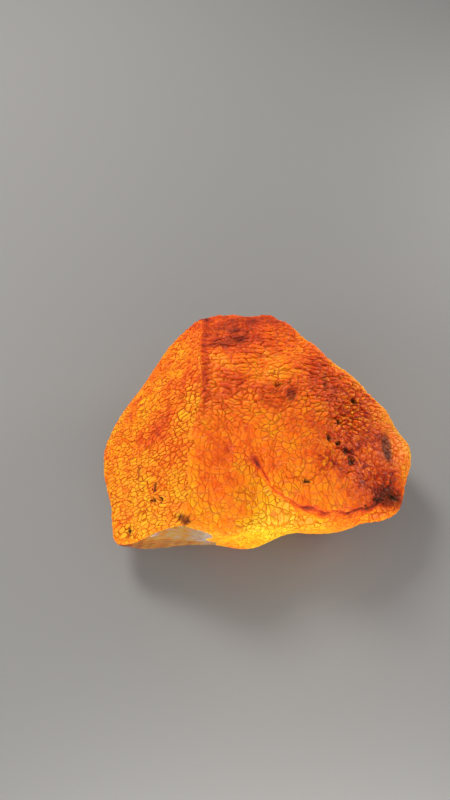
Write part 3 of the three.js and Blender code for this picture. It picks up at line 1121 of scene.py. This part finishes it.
# %% [markdown]
# ## The amber's finish
#
# Light enters and scatters under the crust, which is what subsurface scattering does, and up to a quarter of
# it goes straight through, which is transmission with the refraction of amber. An absorption volume eats
# blue first, so thick resin is redder than thin. Lines, shadows and dirt let nothing through, because clear
# black looks grey. The fresh break has hardly any crust: it is clear and shiny.

# %% Amber material
CRACK_COLOUR = (0.40, 0.032, 0.001, 1.0)
DIRT_COLOUR = (0.055, 0.016, 0.006, 1.0)
SHADOW_COLOUR = (0.11, 0.018, 0.006, 1.0)
CLOUD_SCALE, SPECK_SCALE = 220.0, 1500.0  # per metre
DIRT_SPECKS, DIRT_SHOWS = (0.3, 0.7, -0.35, 0.35), (0.45, 0.8, 0.0, 0.92)
CRUST_CLEAR, FRESH_CLEAR = 0.24, 0.75  # shares of the light that go straight through
CRUST_MATT, FRESH_MATT = 0.45, 0.06
AMBER_IOR, AMBER_GLOSS = 1.54, 0.08
SOAK_RADIUS, SOAK_DEPTH = (1.0, 0.27, 0.06), 1.6 * MM  # how far red, green and blue scatter
ABSORB_COLOUR, ABSORB_DENSITY = (0.97, 0.50, 0.0, 1.0), 60.0
BUMP_WIDTH, BUMP_SPECKS, BUMP_STRENGTH, BUMP_DEPTH = 0.14, 0.5, 0.7, 0.4 * MM


def amber_colour(tree, places, grit, cloud, speck, lines, soil):
    """The tint, with lines, shadows and dirt laid over it, and the streaked glass and painted light of the
    break over all.
    """
    colour = mixed(tree, lines, amber_tint(tree, places, grit, cloud, speck), CRACK_COLOUR)
    colour = mixed(tree, stored(tree, "shade"), colour, SHADOW_COLOUR)
    colour = mixed(tree, soil, colour, DIRT_COLOUR)
    glass = ramp_of(tree, stored(tree, "streak"), FRESH_RAMP)
    return mixed(tree, ranged(tree, stored(tree, "fresh"), 0.3, 0.9, 0.0, 1.0), colour, glass)


def amber_bump(tree, plate, speck, crusty):
    """Plates that stand above their cracks, and specks where the crust is rough."""
    height = calc(tree, "MULTIPLY", ranged(tree, plate, 0.0, BUMP_WIDTH, 0.0, 1.0), crusty)
    specks = calc(tree, "MULTIPLY", stored(tree, "rough"), BUMP_SPECKS)
    height = calc(tree, "MULTIPLY_ADD", speck, specks, height)
    bump = add(tree, "ShaderNodeBump", None, Height=height, Strength=BUMP_STRENGTH, Distance=BUMP_DEPTH)
    return bump.outputs[0]


def amber_material():
    """Cracked, translucent crust that gives way to clear resin on the fresh break."""
    material, tree = node_material("cracked amber")
    places = stored(tree, "places", "Vector")
    grit, fresh = stored(tree, "grit"), stored(tree, "fresh")
    crusty = calc(tree, "SUBTRACT", 1.0, fresh)
    solid = add(tree, "ShaderNodeTexCoord").outputs["Object"]
    cloud = add(tree, "ShaderNodeTexNoise", None, Vector=solid, Scale=CLOUD_SCALE, Detail=4.0).outputs[0]
    speck = add(tree, "ShaderNodeTexNoise", None, Vector=solid, Scale=SPECK_SCALE, Detail=3.0).outputs[0]

    lines, plate = crack_lines(tree, places, grit, cloud)
    lines = calc(tree, "MULTIPLY", lines, crusty)
    soil = calc(tree, "ADD", stored(tree, "dirt"), ranged(tree, speck, *DIRT_SPECKS))
    soil = ranged(tree, soil, *DIRT_SHOWS)
    colour = amber_colour(tree, places, grit, cloud, speck, lines, soil)

    hidden = calc(tree, "MAXIMUM", lines, calc(tree, "MAXIMUM", stored(tree, "shade"), soil))
    clear = calc(tree, "MULTIPLY", CRUST_CLEAR, calc(tree, "SUBTRACT", 1.0, hidden))
    clear = calc(tree, "MAXIMUM", clear, ranged(tree, fresh, 0.2, 0.8, 0.0, FRESH_CLEAR))
    matt = ranged(tree, fresh, 0.2, 0.8, CRUST_MATT, FRESH_MATT)

    shader = add(tree, "ShaderNodeBsdfPrincipled", None, Base_Color=colour, Roughness=matt)
    tree.links.new(clear, shader.inputs["Transmission Weight"])
    tree.links.new(amber_bump(tree, plate, speck, crusty), shader.inputs["Normal"])
    shader.inputs["IOR"].default_value = AMBER_IOR
    shader.inputs["Specular IOR Level"].default_value = AMBER_GLOSS
    shader.inputs["Subsurface Weight"].default_value = 1.0
    shader.inputs["Subsurface Radius"].default_value = SOAK_RADIUS
    shader.inputs["Subsurface Scale"].default_value = SOAK_DEPTH
    absorb = add(tree, "ShaderNodeVolumeAbsorption", None, Color=ABSORB_COLOUR, Density=ABSORB_DENSITY)
    output = add(tree, "ShaderNodeOutputMaterial")
    tree.links.new(shader.outputs[0], output.inputs["Surface"])
    tree.links.new(absorb.outputs[0], output.inputs["Volume"])
    return material


crust.data.materials.append(amber_material())
print("material:", crust.data.materials[0].name)

# %% [markdown]
# ## The finishes of what was caught
#
# Plant crumbs and earth are matt and dark. A bubble is a hole in the resin, which shows as a bright little
# mirror, so it gets a clear, shiny finish of its own.

# %% Finishes of the small bodies
def plain_material(name, colour, roughness, clear=0.0):
    """One even colour, from matt to shiny, with a share of light that goes straight through."""
    material, tree = node_material(name)
    shader = add(tree, "ShaderNodeBsdfPrincipled", None, Base_Color=(*colour, 1.0), Roughness=roughness)
    shader.inputs["Transmission Weight"].default_value = clear
    shader.inputs["Specular IOR Level"].default_value = 0.5 * clear
    output = add(tree, "ShaderNodeOutputMaterial")
    tree.links.new(shader.outputs[0], output.inputs["Surface"])
    return material


debris.data.materials.append(plain_material("plant crumbs", (0.05, 0.02, 0.012), 0.7))
crumbs.data.materials.append(plain_material("dark earth", (0.07, 0.022, 0.008), 0.9))
bubbles.data.materials.append(plain_material("air bubbles", (1.0, 0.88, 0.66), 0.05, clear=0.6))
print("finishes:", ", ".join(piece.data.materials[0].name for piece in (debris, crumbs, bubbles)))
